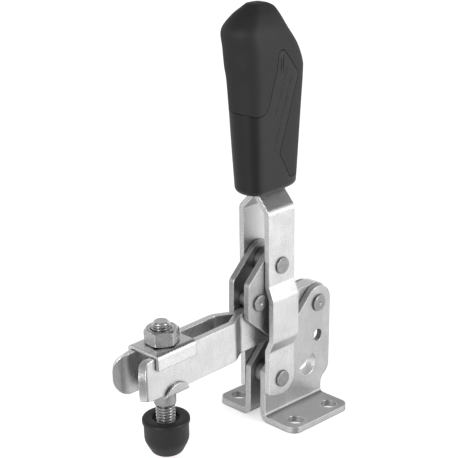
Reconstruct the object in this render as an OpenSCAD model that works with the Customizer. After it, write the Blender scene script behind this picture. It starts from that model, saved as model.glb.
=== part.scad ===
// Vertical toggle clamp: pressed base, bar arm with a forked end, over-centre links,
// joggled lever with a moulded grip, and a spindle that slides along the fork.
// Origin: centre of the foot's hole pattern, on the underside. +X runs along the arm,
// +Y to the left, +Z up. All sizes are in millimetres.

/* [Sheet and clearance] */
// Thickness of the base, link and arm plates
plate_t = 2.8; // [2.6:0.1:3.2]
// Thickness of the lever plates
lever_t = 2.5; // [2:0.1:3]
// Inner radius of the sheet bends
bend_r = 1.5; // [1:0.1:2]
// Side gap between the arm and the plates beside it
arm_gap = 0.2; // [0.1:0.05:0.3]
// Side gap between the lever plates and the plates beside them
lever_gap = 0.2; // [0.15:0.05:0.4]
// Radial clearance of every pin in its hole
pin_play = 0.05; // [0.02:0.01:0.1]

/* [Base] */
// Length of the foot along X
foot_l = 36; // [35:0.5:39]
// Width over both feet
base_w = 46; // [44:0.5:50]
// Radius of the foot's outer corners
foot_corner_r = 4.5; // [3:0.5:6]
// Hole spacing along X
hole_dx = 21.5; // [20:0.5:23]
// Hole spacing across, along Y
hole_dy = 34; // [33:0.5:36]
// Diameter of the foot holes
hole_d = 7; // [6:0.1:7.4]
// Radius of the web round the arm pivot
boss_r = 7.8; // [7:0.1:8.4]
// Height of the web's front edge
web_front_h = 24; // [22:0.5:27]
// Radius of the web's front corner
web_corner_r = 1; // [0.5:0.1:2]
// Height where the rear edge starts to step inwards
step_top_z = 15.4; // [14:0.2:18]
// Height where the rear edge meets the foot length
step_low_z = 6.8; // [5:0.2:8]
// Diameter of the side hole
side_hole_d = 5.6; // [4:0.1:7]
// Distance of the side hole below the arm pivot
side_hole_drop = 15.4; // [14:0.2:17]
// Radius of the pressed lug
lug_r = 5.7; // [5:0.1:6.2]
// Place of the lug along X
lug_x = -9.1; // [-10:0.1:-8]
// Height of the lug's centre
lug_z = 18.9; // [18:0.1:20]
// Distance of the lug's sheared edge from its centre
lug_shear = 2.2; // [1.6:0.1:2.8]
// Rise of the sheared edge towards the rear, in degrees
lug_tilt = 32; // [25:1:40]

/* [Pivots] */
// Lever pivot, along X
lever_pivot_x = 10.5; // [10:0.1:11]
// Lever pivot, height
lever_pivot_z = 19.5; // [19:0.1:20]
// Arm pivot, along X
arm_pivot_x = -15.3; // [-16:0.1:-14.8]
// Arm pivot, height
arm_pivot_z = 46.3; // [45.8:0.1:46.8]
// Distance between the two lever pivots
crank = 52.1; // [51.5:0.1:53]
// Forward lean of the closed lever, in degrees
lever_lean = 1.1; // [0.5:0.1:1.5]
// Front droop of the closed arm, in degrees
arm_droop = 2.4; // [2:0.1:2.8]
// Link pivot, distance along the arm
link_pivot_u = 25.9; // [25.5:0.1:26.2]
// Link pivot, height over the arm's middle line
link_pivot_w = 0.8; // [0.4:0.1:1.2]
// Shank radius of the pivot rivets
shank_r = 2.9; // [2.5:0.1:3]
// Wall of the sleeves on the lever pivot and the top pivot
sleeve_wall = 2.05; // [1.5:0.05:2.5]
// Wall of the bushes in the arm
bush_wall = 1.4; // [1:0.1:1.8]

/* [Rivet heads] */
// Radius of the flat heads on the lever
flat_head_r = 3.6; // [3.3:0.1:4]
// Height of the flat heads
flat_head_h = 1; // [0.8:0.1:1.2]
// Radius of the dimpled head on the arm pivot
arm_head_r = 3.75; // [3.4:0.05:3.9]
// Radius of the dimpled head on the stop rivet
stop_head_r = 3.5; // [3.2:0.05:3.6]
// Height of the dimpled heads
dimple_head_h = 1.1; // [0.9:0.1:1.2]
// Height of the shallow heads on the link pivot
low_head_h = 0.12; // [0.1:0.01:0.15]
// Chamfer of the heads
head_chamfer = 0.25; // [0.1:0.05:0.4]

/* [Links] */
// Radius of the links round their pivots
link_r = 7.8; // [7.2:0.1:8]
// Distance of the front edge ahead of the top pivot
link_nose = 16.9; // [16:0.1:17.4]
// Drop of the upper nose corner below the top pivot
nose_top_drop = 6.9; // [6:0.1:8]
// Drop of the lower nose corner below the top pivot
nose_low_drop = 19.6; // [18:0.2:20.4]
// Radius of the nose corners
nose_r = 3; // [2:0.5:4]
// Radius of the stop sleeve
stop_r = 3.45; // [3.3:0.05:3.6]
// Shank radius of the stop rivet
stop_shank_r = 2; // [1.5:0.1:2.2]
// Place of the stop sleeve along the arm
stop_u = 36.9; // [36.6:0.1:37.2]
// Gap between the stop sleeve and the arm's top edge
stop_gap = 0.06; // [0.04:0.01:0.1]

/* [Lever] */
// Half width of the lever plates
lever_half = 7.75; // [7.2:0.05:7.8]
// Drop of the front toe below the lever pivot
toe_drop = 4.9; // [3:0.1:6]
// Radius of the toe
toe_r = 1.2; // [0.8:0.1:2]
// Height over the lever pivot where the outward joggle starts
joggle_start = 14.4; // [13.5:0.1:15]
// Height where the outward joggle ends
joggle_full = 19.7; // [19:0.1:20.5]
// Height where the plates start to come back in
joggle_back = 38.1; // [37.8:0.1:39]
// Height where they run straight again
joggle_end = 43.9; // [43.5:0.1:45]
// Outward step of the joggle
joggle = 2.4; // [2:0.1:2.8]
// Height where the plates turn in towards the grip
neck_start = 76.3; // [74:0.1:78]
// Height where the plates meet
neck_end = 82.8; // [82:0.1:84]
// Length of the tang inside the grip, above that
tang_l = 45; // [30:1:50]

/* [Arm] */
// Height of the arm bars
arm_h = 17.3; // [16.8:0.1:17.8]
// Distance from the arm pivot to the start of the fork's neck
neck_u = 46; // [45:0.5:47]
// Distance from the arm pivot to the start of the straight fork
fork_u = 53.1; // [52:0.1:54]
// Inner radius of the bars' bends
arm_bend_r = 4; // [3:0.5:5]
// Distance from the arm pivot to the flare
flare_u = 102.1; // [100:0.1:110]
// Angle of the flare, in degrees
flare_turn = 43; // [30:1:50]
// Length of the flare
flare_l = 4.7; // [4:0.1:6]
// Corner radius of the bar's flared end
flare_r = 7.2; // [5:0.1:8]

/* [Spindle and washers] */
// Diameter of the spindle
spindle_d = 8; // [7:0.5:9]
// Side clearance of the spindle in the fork
fork_gap = 0.2; // [0.1:0.05:0.4]
// Distance of the spindle from the arm pivot
spindle_u = 86.6; // [84:0.1:91]
// Height of the spindle's top over the arm's middle line
spindle_top = 19.6; // [18:0.1:24]
// Chamfer at the spindle's upper end
spindle_chamfer = 1.3; // [0.8:0.1:1.6]
// Thickness of the saddle washer
saddle_t = 1.6; // [1.2:0.1:2]
// Length of the saddle washer along the arm
saddle_l = 20.4; // [16:0.2:22]
// Depth of the saddle's side flanges over the arm
saddle_flange = 4.8; // [4:0.1:7]
// Thickness of the lower washer
low_washer_t = 1.2; // [1:0.1:1.6]
// Radius of the lower washer's rounded lugs
low_lug_r = 6.8; // [6.2:0.1:8]
// Height of those lugs over the arm's lower edge
low_lug_h = 3.3; // [2:0.1:4.5]
// Clearance between the washers and the fork
washer_play = 0.15; // [0.05:0.05:0.2]
// Side clearance between the washers' flanges and the fork
flange_play = 0.15; // [0.1:0.05:0.3]
// Inner radius of the washers' bends
washer_bend_r = 0.2; // [0.1:0.05:0.25]
// Nut size over its flats
nut_af = 12.5; // [12:0.1:14]
// Nut height
nut_h = 6.5; // [5:0.1:8]
// Turn of the nut about the spindle, in degrees
nut_turn = 26.5; // [0:0.1:60]
// Radius of the spindle's collar
collar_r = 4.6; // [4.5:0.05:5.2]
// Height of the collar
collar_h = 7; // [6:0.1:9]
// Length of free thread between the collar and the cap
free_thread = 5.9; // [4:0.1:8]

/* [Cap] */
// Largest radius of the cap
cap_r = 9.8; // [9:0.1:11]
// Radius of the cap below its top rim
cap_waist_r = 9.2; // [8.6:0.1:9.6]
// Radius of the pressing face
cap_face_r = 6.2; // [5.5:0.1:8]
// Height of the cap
cap_h = 15.6; // [13:0.1:17]
// Height of the cone towards the pressing face
cap_cone_h = 5.8; // [4:0.1:7]
// Height of the top rim
cap_rim_h = 2.4; // [1.5:0.1:3]
// Radius of the recess in the top
cap_recess_r = 5.6; // [5:0.1:6.5]
// Depth of that recess
cap_recess_h = 1.2; // [0.8:0.1:2]
// Wall below the end of the spindle
cap_floor = 3; // [2:0.1:4]

/* [Grip] */
// Height of the grip's lower end over the lever pivot
grip_low = 84; // [83.6:0.1:86]
// Length of the grip
grip_l = 77.4; // [74:0.2:82]
// Thickness of the grip at its lower end
grip_w = 15.5; // [15:0.1:17]
// Front reach of the grip at its lower end
grip_front = 15.1; // [14.5:0.1:16]
// Rear reach of the grip at its lower end
grip_rear = 13.1; // [12.4:0.1:14]
// Radius of the lower edge
grip_edge_r = 2.8; // [2:0.1:3.2]
// Depth of the rounded front, as a share of the half thickness
nose_depth = 0.78; // [0.7:0.01:1]
// Squareness of the rear, where 2 is round
rear_square = 4.5; // [3:0.1:6]
// Thickness of the soft cover
cover_t = 1.6; // [1.2:0.1:2]
// Width of the seam between cover and core
seam = 0.2; // [0.1:0.05:0.3]
// Clearance between the tang and its pocket
tang_play = 0.08; // [0.05:0.01:0.15]

/* [Hidden] */
$fn = 64;

// Layers from the middle plane outwards
web_in = plate_t + arm_gap;
web_out = web_in + plate_t;
lever_in = web_out + lever_gap;
lever_out = lever_in + lever_t;

// Pivot places in the XZ plane
lever_pivot = [lever_pivot_x, lever_pivot_z];
arm_pivot = [arm_pivot_x, arm_pivot_z];
arm_along = [cos(arm_droop), -sin(arm_droop)];
arm_up = [sin(arm_droop), cos(arm_droop)];
top_pivot = lever_pivot + crank * [sin(lever_lean), cos(lever_lean)];
link_pivot = arm_pivot + link_pivot_u * arm_along + link_pivot_w * arm_up;
arm_half = arm_h / 2;
stop_pivot = arm_pivot + stop_u * arm_along + (arm_half + stop_gap + stop_r) * arm_up;

// Radii that follow from the rivets
sleeve_r = shank_r + pin_play + sleeve_wall;
bush_r = shank_r + pin_play + bush_wall;

// Fork and the parts on it, as seen along the arm
spindle_r = spindle_d / 2;
fork_in = spindle_r + fork_gap;
fork_out = fork_in + plate_t;
saddle_top = arm_half + washer_play + saddle_t;
low_washer_bottom = -arm_half - washer_play - low_washer_t;
collar_bottom = low_washer_bottom - collar_h;
cap_top = collar_bottom - free_thread;
cap_bottom = cap_top - cap_h;
spindle_bottom = cap_bottom + cap_floor;

// Lengths that only need to reach past what they cut
past = 1;
far = 150;

steel = [0.78, 0.79, 0.80];
bright_steel = [0.88, 0.88, 0.88];
dark_steel = [0.55, 0.56, 0.57];
black_plastic = [0.10, 0.10, 0.11];
soft_black = [0.16, 0.16, 0.17];
black_rubber = [0.06, 0.06, 0.06];

function unit(v) = v / norm(v);
// Left-hand normal of the step from a to b
function left_of(a, b) = let(d = unit(b - a)) [-d[1], d[0]];
function reversed(list) = [for (i = [len(list) - 1 : -1 : 0]) list[i]];

// Path with its inner corners rounded to radius r
function rounded(path, r, steps = 6) = [
    for (i = [0 : len(path) - 1])
        if (i == 0 || i == len(path) - 1) path[i]
        else
            let(
                back = unit(path[i - 1] - path[i]),
                ahead = unit(path[i + 1] - path[i]),
                half = acos(back * ahead) / 2,
                centre = path[i] + unit(back + ahead) * r / sin(half),
                from = path[i] + back * r / tan(half) - centre,
                to = path[i] + ahead * r / tan(half) - centre,
                turn = 180 - 2 * half
            )
            for (k = [0 : steps])
                centre + (from * sin(turn * (1 - k / steps)) + to * sin(turn * k / steps)) / sin(turn)
];

// Path moved to its left by t, with mitred corners
function shifted(path, t) = [
    for (i = [0 : len(path) - 1])
        let(
            n = len(path) - 1,
            before = left_of(path[max(i - 1, 0)], path[max(i, 1)]),
            after = left_of(path[min(i, n - 1)], path[min(i + 1, n)]),
            both = before + after
        )
        path[i] + both * 2 * t / (both * both)
];

// Section of a bent sheet of thickness t, from its middle line
module sheet(path, t, r = bend_r) {
    middle = rounded(path, r + t / 2);
    polygon(concat(shifted(middle, t / 2), reversed(shifted(middle, -t / 2))));
}

// Outline round a ring of circles [centre, radius], listed anticlockwise, with tangent sides
module belt(circles) {
    n = len(circles);
    polygon([
        for (i = [0 : n - 1])
            let(
                a = circles[i],
                b = circles[(i + 1) % n],
                step = b[0] - a[0],
                angle = atan2(step[1], step[0]) - acos((a[1] - b[1]) / norm(step)),
                out = [cos(angle), sin(angle)]
            )
            each [a[0] + a[1] * out, b[0] + b[1] * out]
    ]);
    for (c = circles) translate(c[0]) circle(c[1]);
}

// Outline drawn in XZ, extruded from y0 to y1
module along_y(y0, y1) {
    translate([0, y1, 0]) rotate([90, 0, 0]) linear_extrude(y1 - y0) children();
}

// Section drawn in YZ, extruded from x0 to x1
module along_x(x0, x1) {
    translate([x0, 0, 0]) rotate([90, 0, 90]) linear_extrude(x1 - x0) children();
}

// Profile of radius and distance along Y, turned about an axis through the point p in XZ
module turned(p) {
    translate([p[0], 0, p[1]]) rotate([-90, 0, 0]) rotate_extrude() children();
}

// Round hole along Y through the point p
module bore(p, r) {
    translate([p[0], -far, p[1]]) rotate([-90, 0, 0]) cylinder(r = r, h = 2 * far);
}

// Tube along Y, centred on the middle plane
module tube(p, outer, inner, half) {
    turned(p) translate([inner, -half]) square([outer - inner, 2 * half]);
}

// Half profile of one rivet head that stands on the distance y
function head(y, r, h, dimple) = concat(
    [[r, y], [r, y + h - head_chamfer], [r - head_chamfer, y + h]],
    dimple > 0 ? [[dimple, y + h], [0, y + h - dimple / 2]] : [[0, y + h]]
);

// Rivet through both sides, with heads on the distance y
module rivet(p, y, shank, r, h, dimple = 0) {
    upper = concat([[shank, y]], head(y, r, h, dimple));
    turned(p) polygon(concat(upper, [for (q = reversed(upper)) [q[0], -q[1]]]));
}

module at_arm() {
    translate([arm_pivot_x, 0, arm_pivot_z]) rotate([0, arm_droop, 0]) children();
}

module at_lever() {
    translate([lever_pivot_x, 0, lever_pivot_z]) rotate([0, lever_lean, 0]) children();
}

module at_spindle() {
    at_arm() translate([spindle_u, 0, 0]) children();
}

// Base: two mirrored pressings, each a foot and an upright web

bend_end = web_out + bend_r;
web_middle = web_in + plate_t / 2;
base_section = [[web_middle, far], [web_middle, plate_t / 2], [far, plate_t / 2]];

module foot_outline() {
    corner = [foot_l / 2 - foot_corner_r, base_w / 2 - foot_corner_r];
    translate([-foot_l / 2, web_in]) square([foot_l, corner[1] - web_in]);
    belt([[corner, foot_corner_r], [[-corner[0], corner[1]], foot_corner_r]]);
}

// The rear edge steps inwards to the foot through two equal, opposite arcs
module web_outline() {
    rear = arm_pivot_x - boss_r;
    front = foot_l / 2;
    corner = [front - web_corner_r, web_front_h - web_corner_r];
    step_w = -front - rear;
    step_h = step_top_z - step_low_z;
    step_r = step_h / (2 * sin(2 * atan(step_w / step_h)));
    step_middle = [rear + step_w / 2, step_low_z + step_h / 2];
    difference() {
        union() {
            belt([[arm_pivot, boss_r], [corner, web_corner_r]]);
            polygon([
                arm_pivot, corner, [front, corner[1]], [front, 0], [-front, 0],
                [-front, step_low_z], step_middle, [rear, step_top_z], [rear, arm_pivot_z]
            ]);
            translate([rear + step_r, step_top_z]) circle(step_r);
        }
        translate([-front - step_r, step_low_z]) circle(step_r);
    }
}

// Everything below the lug's sheared edge
module lug_side() {
    translate([lug_x, lug_z]) rotate(-lug_tilt) translate([-far, lug_shear - far]) square([2 * far, far]);
}

// Half dish pressed inwards until it meets its mirror on the middle plane
module lug() {
    rim_in = lug_r - 0.5;
    rim_out = lug_r + 0.5;
    floor_t = 0.85 * plate_t;
    intersection() {
        turned([lug_x, lug_z]) polygon([
            [0, 0], [rim_in - 1, 0], [rim_out, web_in], [rim_out, web_out],
            [rim_in, web_out], [rim_in - 2, floor_t], [0, floor_t]
        ]);
        along_y(-past, web_out + past) lug_side();
    }
}

module base_plate() {
    difference() {
        intersection() {
            along_x(-far, far) sheet(base_section, plate_t);
            union() {
                along_y(0, bend_end) web_outline();
                translate([0, 0, -past]) linear_extrude(plate_t + 2 * past) foot_outline();
            }
        }
        for (x = [-1, 1]) translate([x * hole_dx / 2, hole_dy / 2, -past])
            cylinder(d = hole_d, h = plate_t + 2 * past);
        bore(lever_pivot, shank_r + pin_play);
        bore(arm_pivot, shank_r + pin_play);
        bore([arm_pivot_x, arm_pivot_z - side_hole_drop], side_hole_d / 2);
        along_y(0, web_out + past) intersection() {
            translate([lug_x, lug_z]) circle(lug_r);
            lug_side();
        }
    }
    lug();
}

module base_plate_left() {
    color(steel) base_plate();
}

module base_plate_right() {
    color(steel) mirror([0, 1, 0]) base_plate();
}

module lever_pivot_rivet() {
    color(dark_steel) rivet(lever_pivot, lever_out + lever_gap / 2, shank_r, flat_head_r, flat_head_h);
}

module lever_pivot_sleeve() {
    color(dark_steel) tube(lever_pivot, sleeve_r, shank_r + pin_play, web_in);
}

module arm_pivot_rivet() {
    color(dark_steel) rivet(arm_pivot, web_out, shank_r, arm_head_r, dimple_head_h, 1);
}

module arm_pivot_bush() {
    color(dark_steel) tube(arm_pivot, bush_r, shank_r + pin_play, web_in);
}

// Arm: two mirrored bars that touch at the rear and open into a fork

arm_section = [
    [-arm_h, plate_t / 2], [neck_u, plate_t / 2], [fork_u, fork_in + plate_t / 2],
    [flare_u, fork_in + plate_t / 2],
    [flare_u + 2 * flare_l * cos(flare_turn), fork_in + plate_t / 2 + 2 * flare_l * sin(flare_turn)]
];

// Rounded end of the bar, square to the flared sheet
module flare_end() {
    translate([flare_u, fork_in + plate_t / 2, 0]) rotate([0, 0, flare_turn])
        along_y(-far, far)
            belt([
                [[flare_l - flare_r, flare_r - arm_half], flare_r],
                [[flare_l - flare_r, arm_half - flare_r], flare_r],
                [[-far, arm_half - flare_r], flare_r], [[-far, flare_r - arm_half], flare_r]
            ]);
}

module arm_bar() {
    at_arm() difference() {
        intersection() {
            translate([0, 0, -arm_h]) linear_extrude(2 * arm_h) sheet(arm_section, plate_t, arm_bend_r);
            along_y(-past, far) belt([[[0, 0], arm_half], [[flare_u + arm_h, 0], arm_half]]);
            flare_end();
        }
        bore([0, 0], bush_r + pin_play);
        bore([link_pivot_u, link_pivot_w], bush_r + pin_play);
    }
}

module arm_bar_left() {
    color(bright_steel) arm_bar();
}

module arm_bar_right() {
    color(bright_steel) mirror([0, 1, 0]) arm_bar();
}

// Links: two mirrored cheeks with the stop between them

module link_outline() {
    nose_x = top_pivot[0] + link_nose - nose_r;
    nose_top = [nose_x, top_pivot[1] - nose_top_drop];
    nose_low = [nose_x, top_pivot[1] - nose_low_drop];
    belt([[link_pivot, link_r], [nose_low, nose_r], [nose_top, nose_r], [top_pivot, link_r]]);
}

module link_plate() {
    difference() {
        along_y(web_in, web_out) link_outline();
        bore(top_pivot, shank_r + pin_play);
        bore(link_pivot, shank_r + pin_play);
        bore(stop_pivot, stop_shank_r + pin_play);
    }
}

module link_plate_left() {
    color(steel) link_plate();
}

module link_plate_right() {
    color(steel) mirror([0, 1, 0]) link_plate();
}

module link_rivet() {
    color(dark_steel) turned(link_pivot) polygon([
        [0, -web_out - low_head_h], [shank_r, -web_out - low_head_h],
        [shank_r, web_out + low_head_h], [0, web_out + low_head_h]
    ]);
}

module link_bush() {
    color(dark_steel) tube(link_pivot, bush_r, shank_r + pin_play, web_in);
}

module stop_rivet() {
    color(dark_steel) rivet(stop_pivot, web_out, stop_shank_r, stop_head_r, dimple_head_h, 1);
}

module stop_sleeve() {
    color(dark_steel) tube(stop_pivot, stop_r, stop_shank_r + pin_play, web_in);
}

module top_sleeve() {
    color(dark_steel) tube(top_pivot, sleeve_r, shank_r + pin_play, web_in);
}

// Link's own half of the top pivot
module top_pin() {
    color(dark_steel) turned(top_pivot) translate([0, -web_out]) square([shank_r, 2 * web_out]);
}

// Lever: two mirrored joggled strips that meet in a tang

lever_middle = lever_in + lever_t / 2;
tang_top = neck_end + tang_l;
lever_section = [
    [lever_middle, -2 * lever_half], [lever_middle, joggle_start],
    [lever_middle + joggle, joggle_full], [lever_middle + joggle, joggle_back],
    [lever_middle, joggle_end], [lever_middle, neck_start],
    [lever_t / 2, neck_end], [lever_t / 2, tang_top]
];

module lever_outline() {
    side = lever_half - toe_r;
    belt([
        [[0, 0], lever_half], [[side, -toe_drop], toe_r],
        [[side, tang_top - toe_r], toe_r], [[-side, tang_top - toe_r], toe_r]
    ]);
}

module lever_plate() {
    at_lever() difference() {
        intersection() {
            along_x(-2 * lever_half, 2 * lever_half) sheet(lever_section, lever_t);
            along_y(-past, far) lever_outline();
        }
        bore([0, 0], shank_r + pin_play);
        bore([0, crank], shank_r + pin_play);
    }
}

module lever_plate_left() {
    color(bright_steel) lever_plate();
}

module lever_plate_right() {
    color(bright_steel) mirror([0, 1, 0]) lever_plate();
}

// Lever's half of the top pivot: a headed stub in each lever plate
module top_rivet_heads() {
    stub = concat([[0, lever_in], [shank_r, lever_in], [shank_r, lever_out]],
        head(lever_out, flat_head_r, flat_head_h, 0));
    color(dark_steel) for (side = [0, 1]) mirror([0, side, 0]) turned(top_pivot) polygon(stub);
}

// Grip: a loft of rounded sections, round in front and squarer at the rear

// Height share, front reach, rear reach and half thickness, over their lower values
grip_stations = [
    [0.00, 0.0, 0.0, 0.0], [0.23, 1.2, 1.1, 0.6], [0.44, 2.2, 2.2, 1.1],
    [0.60, 3.1, 2.9, 1.6], [0.67, 4.0, 2.4, 1.9], [0.77, 4.7, -1.3, 2.2],
    [0.87, 5.6, -7.0, 1.7], [0.94, 1.3, -9.8, -0.7], [0.98, -3.1, -11.6, -3.0],
    [1.00, -5.5, -14.5, -4.3]
];

// Smooth value between p1 and p2, with p0 and p3 as the neighbours
function blend(p0, p1, p2, p3, t) =
    p1 + (p2 - p0) * t / 2 + (2 * p0 - 5 * p1 + 4 * p2 - p3) * t * t / 2
    + (3 * p1 - 3 * p2 + p3 - p0) * t * t * t / 2;

// Section values at place s along the list of stations
function grip_size(s) = let(
    last = len(grip_stations) - 1,
    i = min(floor(s), last - 1)
) blend(grip_stations[max(i - 1, 0)], grip_stations[i], grip_stations[i + 1],
    grip_stations[min(i + 2, last)], s - i);

function signed_power(v, p) = sign(v) * pow(abs(v), p);

// Ring of points: front, rear and side reach, round ahead of its widest place
function grip_ring(u, front, rear, side, count = 36) = [
    for (k = [0 : count - 1])
        let(
            a = 360 * k / count,
            nose = nose_depth * side,
            middle = front - nose,
            power = 2 / rear_square,
            x = cos(a) >= 0 ? nose * cos(a) : -(rear + middle) * pow(-cos(a), power),
            y = cos(a) >= 0 ? sin(a) : signed_power(sin(a), power)
        )
        [middle + x, side * y, u]
];

// Rings of the grip, drawn in by inset on all sides
function grip_rings(inset) = let(
    edge_steps = 3,
    between = 2,
    last = (len(grip_stations) - 1) * between
) concat(
    [for (k = [0 : edge_steps - 1]) let(a = 90 * k / edge_steps, cut = grip_edge_r * (1 - sin(a)) + inset)
        grip_ring(grip_low + inset + grip_edge_r * (1 - cos(a)), grip_front - cut, grip_rear - cut,
            grip_w / 2 - cut)],
    [for (k = [0 : last]) let(size = grip_size(k / between), span = grip_l - grip_edge_r - 2 * inset)
        grip_ring(grip_low + inset + grip_edge_r + span * size[0], grip_front + size[1] - inset,
            grip_rear + size[2] - inset, grip_w / 2 + size[3] - inset)]
);

module loft(rings) {
    n = len(rings[0]);
    rows = len(rings);
    sides = [for (r = [0 : rows - 2], k = [0 : n - 1]) each let(
            a = r * n + k,
            b = r * n + (k + 1) % n
        ) [[a, a + n, b], [b, a + n, b + n]]];
    lower = [for (k = [0 : n - 1]) k];
    upper = [for (k = [n - 1 : -1 : 0]) (rows - 1) * n + k];
    polyhedron([for (ring = rings) each ring], concat(sides, [lower, upper]));
}

// Side view of the part of the surface that stays core
core_view = rounded([
    [30, grip_low + 39.1], [9, grip_low + 32.9], [4, grip_low + 51], [3, grip_low + 59.5],
    [-0.2, grip_low + 59.5], [-9.7, grip_low + 48.5], [0.9, grip_low + 16.7],
    [-6, grip_low + 5.2], [-far, grip_low + 5.2]
], 1.9, 3);

module core_side(grow) {
    along_y(-far, far) offset(delta = grow) polygon(concat(core_view, [[-far, 0], [far, 0]]));
}

// Room for the tang in the core
module tang_pocket() {
    neck = [lever_section[5], lever_section[6], lever_section[7] + [0, tang_play]];
    half = shifted(rounded(neck, bend_r + lever_t / 2), -lever_t / 2 - tang_play);
    along_x(-lever_half - tang_play, lever_half + tang_play)
        polygon(concat(half, [for (q = reversed(half)) [-q[0], q[1]]]));
}

module grip_core() {
    color(black_plastic) at_lever() difference() {
        union() {
            loft(grip_rings(cover_t + seam / 2));
            intersection() {
                loft(grip_rings(0));
                core_side(-seam);
            }
        }
        tang_pocket();
    }
}

module grip_cover() {
    color(soft_black) at_lever() difference() {
        loft(grip_rings(0));
        loft(grip_rings(cover_t));
        core_side(0);
    }
}

// Spindle: threaded rod with a plain collar, held in the fork by a nut and two washers

// Turned profile about the spindle's own axis
module spindle() {
    collar_top = low_washer_bottom;
    color(steel) at_spindle() rotate_extrude() polygon([
        [0, spindle_bottom], [spindle_r, spindle_bottom], [spindle_r, collar_bottom],
        [collar_r - 0.5, collar_bottom], [collar_r, collar_bottom + 0.8],
        [collar_r, collar_top], [spindle_r, collar_top],
        [spindle_r, spindle_top - spindle_chamfer], [spindle_r - spindle_chamfer, spindle_top],
        [0, spindle_top]
    ]);
}

module spindle_nut() {
    corner_r = nut_af / 2 / cos(30);
    face_r = 0.95 * nut_af / 2;
    wide = corner_r + past;
    bevel = (wide - face_r) * tan(30);
    color(dark_steel) at_spindle() translate([0, 0, saddle_top]) difference() {
        intersection() {
            rotate(nut_turn) cylinder(r = corner_r, h = nut_h, $fn = 6);
            rotate_extrude() polygon([
                [0, 0], [face_r, 0], [wide, bevel], [wide, nut_h - bevel], [face_r, nut_h], [0, nut_h]
            ]);
        }
        translate([0, 0, -past]) cylinder(r = spindle_r + pin_play, h = nut_h + 2 * past);
    }
}

module saddle_washer() {
    side = fork_out + flange_play + saddle_t / 2;
    middle = saddle_top - saddle_t / 2;
    low = arm_half - saddle_flange;
    color(bright_steel) at_spindle() difference() {
        along_x(-saddle_l / 2, saddle_l / 2)
            sheet([[-side, low], [-side, middle], [side, middle], [side, low]], saddle_t, washer_bend_r);
        cylinder(r = spindle_r + pin_play, h = far);
    }
}

module lower_washer() {
    side = fork_out + flange_play + low_washer_t / 2;
    middle = low_washer_bottom + low_washer_t / 2;
    high = low_lug_h - arm_half;
    color(bright_steel) at_spindle() difference() {
        intersection() {
            along_x(-low_lug_r, low_lug_r)
                sheet([[-side, high], [-side, middle], [side, middle], [side, high]],
                    low_washer_t, washer_bend_r);
            along_y(-far, far) translate([0, high - low_lug_r]) circle(low_lug_r);
        }
        translate([0, 0, -far]) cylinder(r = spindle_r + pin_play, h = far);
    }
}

module spindle_cap() {
    cone_top = cap_bottom + cap_cone_h;
    rim_low = cap_top - cap_rim_h;
    edge = 0.6;
    color(black_rubber) at_spindle() rotate_extrude() polygon([
        [0, cap_bottom], [cap_face_r - edge, cap_bottom], [cap_face_r, cap_bottom + edge],
        [cap_waist_r, cone_top], [cap_waist_r, rim_low - edge], [cap_r, rim_low],
        [cap_r, cap_top - edge], [cap_r - edge, cap_top], [cap_recess_r, cap_top],
        [cap_recess_r, cap_top - cap_recess_h], [spindle_r + pin_play, cap_top - cap_recess_h],
        [spindle_r + pin_play, spindle_bottom], [0, spindle_bottom]
    ]);
}

base_plate_left();
base_plate_right();
lever_pivot_rivet();
lever_pivot_sleeve();
arm_pivot_rivet();
arm_pivot_bush();
arm_bar_left();
arm_bar_right();
link_plate_left();
link_plate_right();
link_rivet();
link_bush();
stop_rivet();
stop_sleeve();
top_sleeve();
top_pin();
lever_plate_left();
lever_plate_right();
top_rivet_heads();
grip_core();
grip_cover();
spindle();
spindle_nut();
saddle_washer();
lower_washer();
spindle_cap();
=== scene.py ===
# %% [markdown]
# A vertical toggle clamp holds work down with one swing of its lever. It comes in as a
# finished frame of solids: pressed steel plates, rivets, a forked arm, a sliding spindle and
# a moulded grip. This lesson adds what those solids lack, such as the screw thread and the
# joint line in the grip, and gives every surface its finish. Blender counts in metres, and
# MM turns the clamp's millimetres into them.

# %% Load the frame
import math

import bpy
from mathutils import Matrix, Vector


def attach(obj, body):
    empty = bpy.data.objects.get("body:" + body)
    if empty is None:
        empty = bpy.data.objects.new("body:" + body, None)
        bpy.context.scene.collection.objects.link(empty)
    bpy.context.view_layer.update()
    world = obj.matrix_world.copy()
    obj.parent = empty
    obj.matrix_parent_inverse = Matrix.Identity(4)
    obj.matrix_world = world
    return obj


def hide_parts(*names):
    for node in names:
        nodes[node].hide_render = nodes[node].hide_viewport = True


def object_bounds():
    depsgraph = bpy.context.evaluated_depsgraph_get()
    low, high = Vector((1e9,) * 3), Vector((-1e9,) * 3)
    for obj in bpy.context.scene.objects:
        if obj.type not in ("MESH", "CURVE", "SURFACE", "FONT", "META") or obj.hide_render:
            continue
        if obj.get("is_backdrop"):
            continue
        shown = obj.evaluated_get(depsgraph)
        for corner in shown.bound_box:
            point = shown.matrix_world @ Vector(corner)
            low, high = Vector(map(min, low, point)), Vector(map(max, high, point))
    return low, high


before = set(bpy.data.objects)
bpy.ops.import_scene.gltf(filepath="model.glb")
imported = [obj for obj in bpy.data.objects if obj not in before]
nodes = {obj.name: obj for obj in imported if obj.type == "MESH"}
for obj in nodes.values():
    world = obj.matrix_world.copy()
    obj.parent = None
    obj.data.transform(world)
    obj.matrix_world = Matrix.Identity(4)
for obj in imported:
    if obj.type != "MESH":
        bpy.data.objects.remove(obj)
cad_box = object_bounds()
MM = 0.001
cad_sides = (cad_box[1] - cad_box[0]) / MM
print("solids loaded:", len(nodes), "box in mm:", [round(side, 1) for side in cad_sides])

# %% [markdown]
# A catalogue picture of a small tool is taken from some way off with a long lens, so that
# upright edges stay nearly upright. The camera stands off the free end of the arm, a little
# above the grip. A constraint could aim it at the clamp, but the picture tells the camera's
# turn better than its target, so its three axes are the columns of a rotation matrix.

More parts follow.
